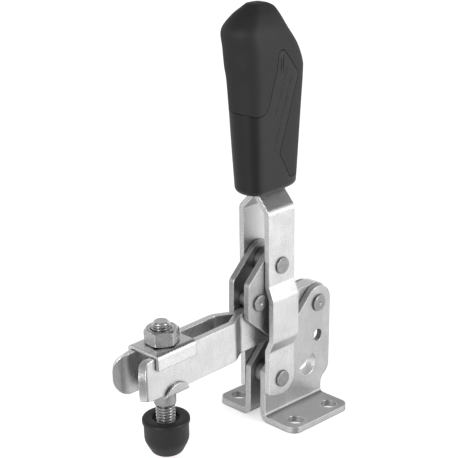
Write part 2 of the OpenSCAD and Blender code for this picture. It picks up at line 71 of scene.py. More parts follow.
# %% Camera
CAMERA_PLACE = Vector((0.4018, 0.3665, 0.2718))
CAMERA_AXES = Matrix((
    (-0.7060, -0.2329, 0.6688),
    (0.7082, -0.2322, 0.6667),
    (0.0000, 0.9443, 0.3289),
))
camera_data = bpy.data.cameras.new("camera")
camera_data.sensor_width = 36
camera_data.lens = 106.8
camera_data.clip_start = 0.01
camera = bpy.data.objects.new("camera", camera_data)
camera.matrix_world = Matrix.Translation(CAMERA_PLACE) @ CAMERA_AXES.to_4x4()
bpy.context.scene.collection.objects.link(camera)
bpy.context.scene.camera = camera
bpy.context.scene.view_settings.view_transform = "Standard"
print("camera at", round(CAMERA_PLACE.length, 2), "m, lens", round(camera_data.lens, 1), "mm")

# %% [markdown]
# The arm droops and the lever leans by a degree or two, so their pieces are easier to build
# in frames of their own. They could be built upright and turned at the end, but places that
# are right from the start keep the numbers together. Two functions turn millimetres along
# the arm or up the lever into places in the shared frame. Their sizes repeat the solids'.

# %% Places on the arm and on the lever
DROOP = math.radians(2.4)
ARM_PIVOT = (-15.3, 46.3)
SPINDLE_ALONG = 86.6
LEAN = math.radians(1.1)
LEVER_PIVOT = (10.5, 19.5)


def on_spindle(x, y, z):
    """Place in the spindle's frame, with z over the middle of the arm bars."""
    along = SPINDLE_ALONG + x
    return Vector((
        (ARM_PIVOT[0] + along * math.cos(DROOP) + z * math.sin(DROOP)) * MM,
        y * MM,
        (ARM_PIVOT[1] - along * math.sin(DROOP) + z * math.cos(DROOP)) * MM,
    ))


def on_lever(x, y, z):
    """Place in the lever's frame, with z up from its pivot."""
    return Vector((
        (LEVER_PIVOT[0] + x * math.cos(LEAN) + z * math.sin(LEAN)) * MM,
        y * MM,
        (LEVER_PIVOT[1] - x * math.sin(LEAN) + z * math.cos(LEAN)) * MM,
    ))


print("the spindle crosses the arm at", [round(c / MM, 1) for c in on_spindle(0, 0, 0)])

# %% [markdown]
# Blender's operators act on whatever is selected, and the solids come in selected, so each
# step empties the selection first. A finished piece is shaded smooth up to an angle, has
# its place in its mesh, is tied to the body of the clamp it rides on, and hides the solids
# that it stands for.

# %% Selecting and settling
def select_only(piece=None):
    """Empties the selection, or leaves just this piece selected and active."""
    for each in bpy.context.selected_objects:
        each.select_set(False)
    if piece:
        piece.select_set(True)
        bpy.context.view_layer.objects.active = piece


def settle(piece, smooth_to, body, slot, *replaced):
    """Smooths the piece, puts its place into its mesh and ties it to the frame."""
    select_only(piece)
    bpy.ops.object.shade_smooth_by_angle(angle=math.radians(smooth_to))
    bpy.ops.object.transform_apply(location=True, rotation=True, scale=True)
    if replaced:
        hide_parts(*replaced)
    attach(piece, body)
    print(piece.name, "faces:", len(piece.data.polygons))


print("solids that came in selected:", len(bpy.context.selected_objects))

# %% [markdown]
# The screw thread and the hand grip are closed round forms that change on their way round.
# A spun profile can't do that, and bridging a hundred loops by hand is slow. So one flat
# grid is bent: its width becomes the way round, its rows become heights, and a function
# gives every point its place. Points that meet are merged, which closes the long seam and
# the poles at the ends, and the faces are turned outwards.

# %% A grid bent into a round piece
MERGE = 0.002


def close_up():
    """Merges points that meet, clears loose edges and turns the faces outwards."""
    bpy.ops.mesh.select_all(action="SELECT")
    bpy.ops.mesh.remove_doubles(threshold=MERGE * MM)
    bpy.ops.mesh.delete_loose()
    bpy.ops.mesh.select_all(action="SELECT")
    bpy.ops.mesh.normals_make_consistent(inside=False)
    bpy.ops.object.mode_set(mode="OBJECT")


def wrapped(name, around, rows, place):
    """Round piece whose points are placed by their angle and row."""
    select_only()
    bpy.ops.mesh.primitive_grid_add(x_subdivisions=around, y_subdivisions=rows - 1, size=2)
    piece = bpy.context.object
    piece.name = name
    for vertex in piece.data.vertices:
        turn = round((vertex.co.x + 1) / 2 * around) % around
        row = round((vertex.co.y + 1) / 2 * (rows - 1))
        vertex.co = place(2 * math.pi * turn / around, row)
    bpy.ops.object.mode_set(mode="EDIT")
    close_up()
    return piece


print("points that are nearer than", MERGE, "mm merge")

# %% [markdown]
# The spindle is a screw with a rolled thread. Its solid is smooth. Blender's Screw modifier
# could wind a thread, but both its ends stay open and slanted. Here the radius of a bent
# grid rises and falls once per pitch, shifted by the angle, so that it closes by itself.
# Towards the upper end the radius is held under a cone, which is the end's chamfer.

# %% Thread form
PITCH = 1.25
THREAD_R = 4.0
ROOT_R = THREAD_R - 0.72
CREST_UNDER = 0.02
CREST_WIDTH = 0.15
FLANK_WIDTH = 0.6
END_CHAMFER = 1.3
SPINDLE_TOP = 19.6


def thread_radius(angle, z):
    """Flat crests and roots with straight flanks between them."""
    off_crest = abs((z / PITCH - angle / (2 * math.pi)) % 1 - 0.5) * 2
    share = min(max((off_crest - CREST_WIDTH) / FLANK_WIDTH, 0), 1)
    end_cone = THREAD_R - END_CHAMFER + (SPINDLE_TOP - z)
    return min(THREAD_R - CREST_UNDER - share * (THREAD_R - ROOT_R), max(end_cone, 0))


print("thread depth in mm:", round(THREAD_R - ROOT_R, 2))

# %% [markdown]
# Every row of the grid is one height on the spindle, ten to a turn of the thread. Under the
# fork stands a plain collar with rolled edges, and inside the cap the thread doesn't show,
# so those rows name their radius and the others leave it to the thread.

# %% Threaded spindle
AROUND_SPINDLE = 56
COLLAR_TOP = -10.0
COLLAR_LOW = -17.0
COLLAR_R = 4.6
THREAD_LOW = COLLAR_LOW - 8
SPINDLE_LOW = -35.0
ROW_STEP = PITCH / 10


def thread_rows(high, low):
    """Rows from high to low that leave their radius to the thread."""
    count = round((high - low) / ROW_STEP)
    return [(high + (low - high) * k / count, None) for k in range(count + 1)]


collar_rows = [
    (COLLAR_TOP, ROOT_R), (COLLAR_TOP, COLLAR_R - 0.25), (COLLAR_TOP - 0.25, COLLAR_R),
    (COLLAR_LOW + 0.9, COLLAR_R), (COLLAR_LOW + 0.3, COLLAR_R - 0.22),
    (COLLAR_LOW, COLLAR_R - 0.6), (COLLAR_LOW, ROOT_R),
]
spindle_rows = [
    (SPINDLE_TOP, 0.0), *thread_rows(SPINDLE_TOP, COLLAR_TOP + 0.1),
    *collar_rows, *thread_rows(COLLAR_LOW - 0.1, THREAD_LOW),
    (THREAD_LOW - 0.1, ROOT_R), (SPINDLE_LOW, ROOT_R), (SPINDLE_LOW, 0.0),
]


def spindle_place(angle, row):
    z, radius = spindle_rows[row]
    radius = thread_radius(angle, z) if radius is None else radius
    return on_spindle(radius * math.cos(angle), radius * math.sin(angle), z)


spindle = wrapped("spindle_thread", AROUND_SPINDLE, len(spindle_rows), spindle_place)
settle(spindle, 40, "spindle_set", "spindle_steel", "spindle")

# %% [markdown]
# The cap and the tools that cut the nut are the same all the way round. They could start as
# cylinders that are inset and bevelled step by step, but a profile spun round the spindle's
# axis keeps each corner where its numbers say. A ring of points is added, moved to the
# corners of the profile, and spun for a full turn. The edge that runs along the axis stays
# behind without faces, and close_up clears it.

# %% Spinning a profile
SPINDLE_FOOT = on_spindle(0, 0, 0)
SPINDLE_AXIS = (on_spindle(0, 0, 1) - SPINDLE_FOOT).normalized()


def spun(name, profile, cuts=72):
    """Solid made by spinning a closed profile of [radius, height] points."""
    select_only()
    bpy.ops.mesh.primitive_circle_add(vertices=len(profile), radius=1)
    piece = bpy.context.object
    piece.name = name
    for vertex, (radius, height) in zip(piece.data.vertices, profile):
        vertex.co = on_spindle(radius, 0, height)
    bpy.ops.object.mode_set(mode="EDIT")
    bpy.ops.mesh.select_all(action="SELECT")
    bpy.ops.mesh.spin(
        steps=cuts, angle=2 * math.pi, center=SPINDLE_FOOT, axis=SPINDLE_AXIS,
    )
    close_up()
    return piece


print("the spindle points along", [round(c, 3) for c in SPINDLE_AXIS])

# %% [markdown]
# The cap is moulded rubber, so none of its edges is sharp. It has a proud rim, a straight
# skirt that draws in to the pressing face, and a recess where the spindle enters. A Bevel
# modifier gives every edge one width, but these edges differ, so each corner of the profile
# brings its own softness and is replaced by a small curve before the profile is spun.

# %% Cap
CAP_TOP = COLLAR_LOW - 5.9
CAP_LOW = CAP_TOP - 15.6
PRESSING_R = 6.2
SKIRT_R = 9.2
SKIRT_LOW = CAP_LOW + 5.8
RIM_R = 9.8
RECESS_R = 5.6
RECESS_LOW = CAP_TOP - 1.4
CAP_BORE_R = 4.05
CAP_BORE_LOW = CAP_LOW + 3.2


def softened(corners, cuts=4):
    """Profile whose corners [radius, height, softness] are replaced by small curves."""
    path = [corners[0][:2]]
    for before, corner, after in zip(corners, corners[1:], corners[2:]):
        here = Vector(corner[:2])
        back = Vector(before[:2]) - here
        ahead = Vector(after[:2]) - here
        cut = min(corner[2], back.length * 0.45, ahead.length * 0.45)
        start, end = here + back.normalized() * cut, here + ahead.normalized() * cut
        for k in range(cuts + 1):
            t = k / cuts
            path.append(tuple(start * (1 - t) ** 2 + here * (2 * t * (1 - t)) + end * t ** 2))
    return path + [corners[-1][:2]]


cap_profile = softened([
    (0, CAP_LOW, 0), (PRESSING_R, CAP_LOW, 1.4), (SKIRT_R, SKIRT_LOW, 1.6),
    (SKIRT_R + 0.05, CAP_TOP - 2.5, 0.3), (RIM_R, CAP_TOP - 2.1, 0.5), (RIM_R, CAP_TOP, 1.1),
    (RECESS_R, CAP_TOP, 0.6), (RECESS_R - 0.2, RECESS_LOW, 0.4),
    (CAP_BORE_R, RECESS_LOW, 0.1), (CAP_BORE_R, CAP_BORE_LOW, 0.1), (0, CAP_BORE_LOW, 0),
])
cap = spun("cap_moulding", cap_profile, cuts=96)
settle(cap, 60, "spindle_set", "cap_rubber", "spindle_cap")

# %% [markdown]
# The nut is a cold-formed hexagon. A cylinder with six sides is added at its size and place
# and turned as the nut happens to stand, and its edges get a small bevel in edit mode. A
# Bevel modifier would do as well, but all the edges take the same bevel here, so the
# operator is shorter.

# %% Blank of the nut
NUT_LOW = 10.4
NUT_H = 6.5
NUT_TOP = NUT_LOW + NUT_H
NUT_HALF = 12.5 / 2
NUT_EDGE = 0.22
# A cylinder with six sides has a corner at 30 degrees, and the nut has one at 26.5
NUT_TURN = math.radians(26.5 - 30)

select_only()
nut_axes = Matrix.Rotation(DROOP, 3, "Y") @ Matrix.Rotation(NUT_TURN, 3, "Z")
bpy.ops.mesh.primitive_cylinder_add(
    vertices=6, radius=NUT_HALF / math.cos(math.radians(30)) * MM, depth=NUT_H * MM,
    location=on_spindle(0, 0, NUT_LOW + NUT_H / 2), rotation=nut_axes.to_euler(),
)
nut = bpy.context.object
nut.name = "hexagon_nut"
bpy.ops.object.mode_set(mode="EDIT")
bpy.ops.mesh.select_all(action="SELECT")
bpy.ops.mesh.bevel(offset=NUT_EDGE * MM, segments=2, affect="EDGES")
bpy.ops.object.mode_set(mode="OBJECT")
print("nut across its flats in mm:", NUT_HALF * 2)

# %% [markdown]
# Both ends of the nut are turned to a cone, so that each of its sides ends in an arc. The
# arcs would be hard to draw, but they come by themselves when the blank keeps only what it
# shares with a turned form. A second turned form is then cut out: the bore, and the
# countersink where the thread comes out.

# %% Cones and bore of the nut
FACE_R = 0.94 * NUT_HALF
WIDE_R = 1.4 * NUT_HALF
CONE_H = (WIDE_R - FACE_R) * math.tan(math.radians(30))
NUT_BORE_R = 4.05
SINK_R = 4.8
SINK_LOW = NUT_TOP - 0.75
PAST = 0.01


def carve(piece, tool, operation):
    """Cuts, joins or keeps the overlap with a tool, which is then removed."""
    step = piece.modifiers.new("carve", "BOOLEAN")
    step.operation = operation
    step.object = tool
    step.solver = "EXACT"
    select_only(piece)
    bpy.ops.object.modifier_apply(modifier=step.name)
    bpy.data.objects.remove(tool)


carve(nut, spun("nut_cone", [
    (0, NUT_LOW - PAST), (FACE_R, NUT_LOW - PAST), (WIDE_R, NUT_LOW + CONE_H),
    (WIDE_R, NUT_TOP - CONE_H), (FACE_R, NUT_TOP + PAST), (0, NUT_TOP + PAST),
]), "INTERSECT")
carve(nut, spun("nut_bore", [
    (0, NUT_LOW - 1), (NUT_BORE_R, NUT_LOW - 1), (NUT_BORE_R, SINK_LOW),
    (SINK_R, NUT_TOP + PAST), (SINK_R, NUT_TOP + 1), (0, NUT_TOP + 1),
]), "DIFFERENCE")
settle(nut, 22, "spindle_set", "nut_steel", "spindle_nut")

# %% [markdown]
# The grip is moulded in two shots: a hard core that carries the steel tang, and a soft cover
# over its front, head and back. Both share one loft. At a few stations up its height the
# grip has its own reach to the front and the rear and its own thickness. Straight lines
# between the stations would show as rings, so each value runs along a cubic that passes
# through all of them and heeds the station before and after.

# %% Stations of the grip
GRIP_LOW = 84.0
GRIP_LONG = 77.4
GRIP_EDGE = 2.8
GRIP_FRONT = 15.1
GRIP_REAR = 13.1
GRIP_HALF = 7.75
# Share of the height, then what front, rear and side gain there
STATIONS = [
    (0.00, 0.0, 0.0, 0.0), (0.23, 1.2, 1.1, 0.6), (0.44, 2.2, 2.2, 1.1),
    (0.60, 3.1, 2.9, 1.6), (0.67, 4.0, 2.4, 1.9), (0.77, 4.7, -1.3, 2.2),
    (0.87, 5.6, -7.0, 1.7), (0.94, 1.3, -9.8, -0.7), (0.98, -3.1, -11.6, -3.0),
    (1.00, -5.5, -14.5, -4.3),
]


def between(before, start, end, after, t):
    """Smooth value from start to end that heeds their neighbours."""
    return (
        start + (end - before) * t / 2 + (2 * before - 5 * start + 4 * end - after) * t * t / 2
        + (3 * start - 3 * end + after - before) * t ** 3 / 2
    )


print("stations of the grip:", len(STATIONS))

# %% [markdown]
# The solid has few sections, and the visible grip puts many between the same stations. The
# lower edge is rounded by a quarter circle of sections of its own, because a bevel on the
# finished loft would follow its uneven faces. An inset draws every section in, which later
# makes the inner wall of the cover.

# %% Sections of the grip
EDGE_CUTS = 8
STATION_CUTS = 10


def section_sizes(inset):
    """Height, front reach, rear reach and half thickness of every section."""
    found = []
    for k in range(EDGE_CUTS):
        a = math.pi / 2 * k / EDGE_CUTS
        cut = GRIP_EDGE * (1 - math.sin(a)) + inset
        height = GRIP_LOW + inset + GRIP_EDGE * (1 - math.cos(a))
        found.append((height, GRIP_FRONT - cut, GRIP_REAR - cut, GRIP_HALF - cut))
    last = len(STATIONS) - 1
    span = GRIP_LONG - GRIP_EDGE - 2 * inset
    for k in range(last * STATION_CUTS + 1):
        i = min(k // STATION_CUTS, last - 1)
        near = [STATIONS[j] for j in (max(i - 1, 0), i, i + 1, min(i + 2, last))]
        gains = [between(*values, k / STATION_CUTS - i) for values in zip(*near)]
        found.append((
            GRIP_LOW + inset + GRIP_EDGE + span * gains[0], GRIP_FRONT + gains[1] - inset,
            GRIP_REAR + gains[2] - inset, GRIP_HALF + gains[3] - inset,
        ))
    return found


print("sections of the grip:", len(section_sizes(0)))

# %% [markdown]
# One section is half an ellipse in front, where the palm rests, and squarer behind, where
# the fingers hold. The squarer half is a superellipse, whose exponent sets how full its
# corners are. Equal steps of the angle would crowd the points there, so the angles are
# picked at even distances along a middle section.

# %% Shape of a section
NOSE = 0.78
FULLNESS = 4.5
AROUND_GRIP = 128
MIDDLE_SECTION = (0, 18.0, 15.0, 9.0)
WALK_STEPS = 4000


def section_point(sizes, angle):
    """Point of a section, at an angle from its front."""
    height, front, rear, side = sizes
    nose = NOSE * side
    middle = front - nose
    if math.cos(angle) >= 0:
        return middle + nose * math.cos(angle), side * math.sin(angle), height
    x = middle - (rear + middle) * abs(math.cos(angle)) ** (2 / FULLNESS)
    y = side * math.copysign(abs(math.sin(angle)) ** (2 / FULLNESS), math.sin(angle))
    return x, y, height


def even_angles(count):
    """Angles that put the points of a section at even distances."""
    angles = [math.pi * k / WALK_STEPS for k in range(WALK_STEPS + 1)]
    walk = [section_point(MIDDLE_SECTION, angle) for angle in angles]
    run = [0.0]
    for a, b in zip(walk, walk[1:]):
        run.append(run[-1] + math.dist(a, b))
    half, picked, k = count // 2, [], 0
    for step in range(half + 1):
        goal = run[-1] * step / half
        while k < WALK_STEPS and run[k] < goal - 1e-9:
            k += 1
        picked.append(angles[k])
    return picked + [2 * math.pi - angle for angle in picked[half - 1:0:-1]]


grip_angles = even_angles(AROUND_GRIP)
print("points round the grip:", len(grip_angles))

# %% [markdown]
# The body of the grip is wrapped from those sections. The photo shows no facet at its upper
# end, and how far that end is domed can't be read there. A flat end would show as a facet,
# and a bevel would only soften its rim, so the last section is drawn in and up to a low dome
# of a guessed height.

# %% Body of the grip
DOME = 0.35
DOME_CUTS = 5


def grip_body(name, inset):
    """Lofted grip, drawn in all round by the inset."""
    sizes = section_sizes(inset)
    low, top = sizes[0], sizes[-1]
    low_middle, top_middle = (low[1] - low[2]) / 2, (top[1] - top[2]) / 2
    for k in range(1, DOME_CUTS):
        share = math.cos(math.pi / 2 * k / DOME_CUTS)
        sizes.append((
            top[0] + DOME * (1 - share ** 2), top_middle + (top[1] - top_middle) * share,
            (top[2] + top_middle) * share - top_middle, top[3] * share,
        ))
    rows = len(sizes) + 2

    def place(angle, row):
        if row == 0:
            return on_lever(low_middle, 0, low[0])
        if row == rows - 1:
            return on_lever(top_middle, 0, top[0] + DOME)
        turn = grip_angles[round(angle / (2 * math.pi) * AROUND_GRIP) % AROUND_GRIP]
        return on_lever(*section_point(sizes[row - 1], turn))

    return wrapped(name, AROUND_GRIP, rows, place)


cover = grip_body("soft_cover", 0)
print("grip is", round(GRIP_LONG + DOME, 2), "mm long, faces:", len(cover.data.polygons))

# %% [markdown]
# Seen from the side, the seam between core and cover is one outline with rounded corners.
# It could be drawn as a curve, but a list of corners with their radii is easier to mend.
# The core is kept a little smaller than the opening in the cover, which leaves the fine
# dark joint of a two-shot moulding. Moving the outline inwards makes the radius smaller at
# a corner that points out and larger at one that points in.

# %% Outline of the seam
SEAM_CORNERS = [
    (30, 39.1, 0), (9.4, 32.7, 5.5), (4, 51, 8), (3, 59.5, 1.9), (-0.2, 59.5, 1.9),
    (-9.7, 48.5, 2.4), (0.9, 16.7, 2.4), (-6, 5.2, 1.9), (-30, 5.2, 0), (-30, -12, 0),
    (30, -12, 0),
]
ARC_CUTS = 10


def corner_arc(before, here, after, radius):
    """Arc that rounds one corner of an outline."""
    back, ahead = (before - here).normalized(), (after - here).normalized()
    half = back.angle(ahead) / 2
    middle = here + (back + ahead).normalized() * (radius / math.sin(half))
    start = here + back * (radius / math.tan(half)) - middle
    end = here + ahead * (radius / math.tan(half)) - middle
    turn = math.pi - 2 * half
    arc = []
    for k in range(ARC_CUTS + 1):
        share = k / ARC_CUTS
        spoke = start * math.sin(turn * (1 - share)) + end * math.sin(turn * share)
        arc.append(middle + spoke / math.sin(turn))
    return arc


def seam_outline(shrink):
    """Outline of the part that stays core, moved inwards by shrink."""
    corners = [Vector(corner[:2]) for corner in SEAM_CORNERS]
    moved, outline = [], []
    for i, here in enumerate(corners):
        before, after = corners[i - 1], corners[(i + 1) % len(corners)]
        a, b = (here - before).normalized(), (after - here).normalized()
        both = Vector((-a.y, a.x)) + Vector((-b.y, b.x))
        radius = SEAM_CORNERS[i][2] - math.copysign(shrink, a.cross(b))
        moved.append((here + both * (2 * shrink / both.dot(both)), radius))
    for i, (here, radius) in enumerate(moved):
        before, after = moved[i - 1][0], moved[(i + 1) % len(moved)][0]
        outline += corner_arc(before, here, after, radius) if SEAM_CORNERS[i][2] else [here]
    return outline


print("points in the seam's outline:", len(seam_outline(0)))

# %% [markdown]
# The outline becomes a block that runs through the whole width of the grip. A circle is
# added with as many points as the outline has, its points are moved onto the outline, and
# the face is extruded to the other side. Cutting with the block opens the cover, and a body
# drawn in by the wall's thickness hollows it.

# %% Soft cover
COVER_T = 1.6
BLOCK_HALF = 20


def seam_block(name, shrink):
    """The seam's outline, extruded through the grip."""
    outline = seam_outline(shrink)
    select_only()
    bpy.ops.mesh.primitive_circle_add(vertices=len(outline), radius=1, fill_type="NGON")
    block = bpy.context.object
    block.name = name
    for vertex, (x, z) in zip(block.data.vertices, outline):
        vertex.co = on_lever(x, -BLOCK_HALF, GRIP_LOW + z)
    through = {"value": (0, 2 * BLOCK_HALF * MM, 0)}
    bpy.ops.object.mode_set(mode="EDIT")
    bpy.ops.mesh.select_all(action="SELECT")
    bpy.ops.mesh.extrude_region_move(TRANSFORM_OT_translate=through)
    close_up()
    return block


carve(cover, seam_block("seam_opening", 0), "DIFFERENCE")
carve(cover, grip_body("cover_inside", COVER_T), "DIFFERENCE")
settle(cover, 40, "lever", "grip_soft", "grip_cover")

# %% [markdown]
# The core is what shows in the opening and what fills the cover from inside. Modelled as one
# inner body with a raised panel, it would need its own loft, so booleans build it from the
# same one. It keeps its overlap with a slightly smaller block, is joined to the inner body,
# and gets room for the steel tang, so that plastic and steel don't fill the same space.

# %% Hard core
SEAM = 0.24
INSIDE_PLAY = 0.1
TANG_ROOM = (15.66, 5.16, 55.76)
TANG_MIDDLE = 100

core = grip_body("hard_core", 0)
carve(core, seam_block("seam_core", SEAM), "INTERSECT")
carve(core, grip_body("core_inside", COVER_T + INSIDE_PLAY), "UNION")
select_only()
bpy.ops.mesh.primitive_cube_add(
    size=1, location=on_lever(0, 0, TANG_MIDDLE), rotation=(0, LEAN, 0),
)
tang_room = bpy.context.object
tang_room.scale = [side * MM for side in TANG_ROOM]
carve(core, tang_room, "DIFFERENCE")
print("core faces so far:", len(core.data.polygons))

# %% [markdown]
# The hard core shows in a window on each side, and there the moulding has an oval groove.
# It could be a bent tube, but a torus whose two halves are moved apart is that tube already.
# It lies on the surface of the grip, whose thickness comes from the sections, and is cut
# out of it.

# %% Oval groove
GROOVE_PLACE = (0.95, 53.1)
GROOVE_LONG = 9.4
GROOVE_R = 0.65
GROOVE_T = 0.24
GROOVE_SUNK = 0.05
GROOVE_LEAN = 0.02


def on_side(x, height, way, proud=0.0):
    """Place on the grip's left or right side, at x and so high over its lower end."""
    below = [sizes for sizes in section_sizes(0) if sizes[0] <= GRIP_LOW + height]
    _, front, rear, side = max(below)
    middle = front - NOSE * side
    across = max(middle - x, 0) / (rear + middle)
    y = side * (1 - across ** FULLNESS) ** (1 / FULLNESS) + proud
    return on_lever(x, way * y, GRIP_LOW + height)


for way in (-1, 1):
    select_only()
    bpy.ops.mesh.primitive_torus_add(
        major_segments=32, minor_segments=12, major_radius=GROOVE_R * MM,
        minor_radius=GROOVE_T * MM, rotation=(math.pi / 2, GROOVE_LEAN, 0),
        location=on_side(*GROOVE_PLACE, way, -GROOVE_SUNK),
    )
    groove = bpy.context.object
    for vertex in groove.data.vertices:
        vertex.co.y += math.copysign(GROOVE_LONG / 2 - GROOVE_R, vertex.co.y) * MM
    carve(core, groove, "DIFFERENCE")
print("core faces with grooves:", len(core.data.polygons))

# %% [markdown]
# Beside the groove run two rows of small ribs, which give the fingers hold. A rib is a ball
# pressed flat and long. An Array modifier would leave the curved side of the grip, so the
# rib is modelled once and copied along two slanting lines on both sides. Each copy has its
# own mesh and lies on the surface, and the copies are joined into one piece.

# %% Ribs in the side of the grip
RIB_SIZE = (0.8, 0.22, 0.26)
# Start and end of a row, as x and height, and its count of ribs
RIB_ROWS = [((-2.3, 51.4), (3.2, 34.5), 15), ((-5.0, 46.9), (3.9, 18.6), 25)]

select_only()
bpy.ops.mesh.primitive_uv_sphere_add(segments=12, ring_count=6, radius=1)
first_rib = bpy.context.object
bpy.ops.object.mode_set(mode="EDIT")
bpy.ops.mesh.select_all(action="SELECT")
bpy.ops.transform.resize(value=[side * MM for side in RIB_SIZE])
bpy.ops.object.mode_set(mode="OBJECT")


def rib_copy(x, height, way, lean):
    """Copy of the first rib, laid on the side of the grip."""
    rib = bpy.data.objects.new("rib", first_rib.data.copy())
    bpy.context.scene.collection.objects.link(rib)
    rib.location = on_side(x, height, way)
    rib.rotation_euler = (0, lean + LEAN, 0)
    return rib


ribs = []
for way in (-1, 1):
    for start, end, count in RIB_ROWS:
        lean = math.atan2(end[0] - start[0], start[1] - end[1])
        for k in range(count):
            x, height = (a + (b - a) * k / (count - 1) for a, b in zip(start, end))
            ribs.append(rib_copy(x, height, way, lean))
bpy.data.objects.remove(first_rib)
select_only(ribs[0])
for rib in ribs:
    rib.select_set(True)
bpy.ops.object.join()
grip_ribs = bpy.context.object
grip_ribs.name = "grip_ribs"
settle(grip_ribs, 60, "lever", "grip_plastic")
settle(core, 40, "lever", "grip_plastic", "grip_core")

# %% [markdown]
# Finishes come next. They are chains of nodes, and a chain is easier to read as a formula.
# So a small class wraps one output of a node, and signs such as + and * between two wires,
# or between a wire and a number, add the Math node that they stand for.

# %% Wires
class Wire:
    """One output of a shader node, usable in formulas."""

    def __init__(self, paint, socket):
        self.paint = paint
        self.socket = socket

    def __add__(self, other):
        return self.paint.calc("ADD", self, other)

    def __radd__(self, other):
        return self.paint.calc("ADD", other, self)

    def __sub__(self, other):
        return self.paint.calc("SUBTRACT", self, other)

    def __rsub__(self, other):
        return self.paint.calc("SUBTRACT", other, self)

    def __mul__(self, other):
        return self.paint.calc("MULTIPLY", self, other)

    def __rmul__(self, other):
        return self.paint.calc("MULTIPLY", other, self)

    def __truediv__(self, other):
        return self.paint.calc("DIVIDE", self, other)

    def __rtruediv__(self, other):
        return self.paint.calc("DIVIDE", other, self)

    def __pow__(self, other):
        return self.paint.calc("POWER", self, other)


print("signs that wires understand: + - * / **")

# %% [markdown]
# A second class holds the nodes of one material or world. One method adds any node, with
# its settings and with values or wires for its inputs. The other methods are the few nodes
# that nearly every finish needs. Patterns read the place on the piece from the Object
# coordinates, so they stay put when a piece moves.

# %% Paints
class Paint:
    """The nodes that give a material or a world its look."""

    def __init__(self, owner, coordinates="Object"):
        owner.use_nodes = True
        self.owner = owner
        self.tree = owner.node_tree
        self.tree.nodes.clear()
        self.place = self.node("ShaderNodeTexCoord", {}, {}, coordinates)

    def node(self, kind, settings, inputs, *outputs):
        """Adds a node and returns its first output, or all that are named."""
        made = self.tree.nodes.new(kind)
        for key, value in settings.items():
            setattr(made, key, value)
        for key, value in inputs.items():
            if isinstance(value, Wire):
                self.tree.links.new(value.socket, made.inputs[key])
            else:
                made.inputs[key].default_value = value
        sockets = [made.outputs[key] for key in outputs] or made.outputs[:1]
        wires = [Wire(self, socket) for socket in sockets]
        return wires[0] if len(wires) == 1 else wires

    def calc(self, operation, *values):
        return self.node("ShaderNodeMath", {"operation": operation}, dict(enumerate(values)))

    def clamp(self, value, low, high):
        """Rises softly from 0 at low to 1 at high."""
        return self.node(
            "ShaderNodeMapRange", {"interpolation_type": "SMOOTHSTEP", "clamp": True},
            {"Value": value, "From Min": low, "From Max": high}, "Result",
        )

    def mix(self, share, first, second):
        inputs = {"Factor": share, 6: first, 7: second}
        return self.node("ShaderNodeMix", {"data_type": "RGBA"}, inputs, 2)

    def xyz(self, vector):
        return self.node("ShaderNodeSeparateXYZ", {}, {"Vector": vector}, "X", "Y", "Z")


def grey(value):
    return (value, value, value, 1.0)


print("a grey of 0.5 is written", grey(0.5))

# %% [markdown]
# All the finishes share a few steps: noise for what varies, a fine relief, and one shader.
# Every edge of a real piece is a little round and catches light. Bevelling the solids would
# change them, so the Bevel node bends the normals at their edges instead. A coat goes on
# the new pieces and on the frame's solids alike.

# %% Steps that every finish shares
def noise(paint, scale, detail=2, roughness=0.5, stretch=None):
    where = paint.place
    if stretch:
        where = paint.node("ShaderNodeMapping", {}, {"Vector": where, "Scale": stretch})
    inputs = {"Vector": where, "Scale": scale, "Detail": detail, "Roughness": roughness}
    return paint.node("ShaderNodeTexNoise", {}, inputs, "Fac")


def contrast(paint, noise_wire, low=0.3, high=0.7):
    """Spreads the middle of a noise over the whole range."""
    return paint.clamp(noise_wire, low, high)


def round_edges(paint, radius):
    return paint.node("ShaderNodeBevel", {"samples": 6}, {"Radius": radius})


def relief(paint, height, depth, strength, normal):
    inputs = {"Height": height, "Distance": depth, "Strength": strength, "Normal": normal}
    return paint.node("ShaderNodeBump", {}, inputs)


def finish(paint, sockets):
    """Ends a paint in one shader and returns its material."""
    surface = paint.node("ShaderNodeBsdfPrincipled", {}, sockets)
    paint.node("ShaderNodeOutputMaterial", {}, {"Surface": surface})
    return paint.owner


def coat(material, *pieces):
    """Gives new pieces, or the frame's solids by their names, one finish."""
    for piece in pieces:
        mesh = (nodes[piece] if isinstance(piece, str) else piece).data
        mesh.materials.clear()
        mesh.materials.append(material)
    print(material.name, "on", len(pieces), "pieces")


print("solids without a finish yet:", len(nodes))

# %% [markdown]
# Two marks are painted into the metal's colour. Corners get a painted edge tone, mostly a
# painted highlight, and painted shade darkens the places where pieces meet. Both could be
# painted by hand, but the shapes give them away: where the rounded normal leaves the true
# one there is a corner, and where Ambient Occlusion falls another surface is close.

# %% Painted edge tone and painted shade in joints
PAINTED_EDGE_FROM = 0.01
PAINTED_EDGE_FULL = 0.14


def painted_edges(paint, radius):
    """Share of the painted edge tone at the corners, and the rounded normal."""
    rounded = round_edges(paint, radius)
    true_normal = paint.node("ShaderNodeNewGeometry", {}, {}, "Normal")
    dot = {"operation": "DOT_PRODUCT"}
    along = paint.node("ShaderNodeVectorMath", dot, {0: rounded, 1: true_normal}, "Value")
    return paint.clamp(1 - along, PAINTED_EDGE_FROM, PAINTED_EDGE_FULL), rounded


# Painted shade: the colour darkens where another surface is close, as shade falls there
def joint_shade(paint, reach, low, high):
    """Rises to 1 where another surface is within reach."""
    inputs = {"Distance": reach}
    open_share = paint.node("ShaderNodeAmbientOcclusion", {"samples": 4}, inputs, "AO")
    return 1 - paint.clamp(open_share, low, high)


print("rubbed metal starts at", PAINTED_EDGE_FROM, "and is full at", PAINTED_EDGE_FULL)
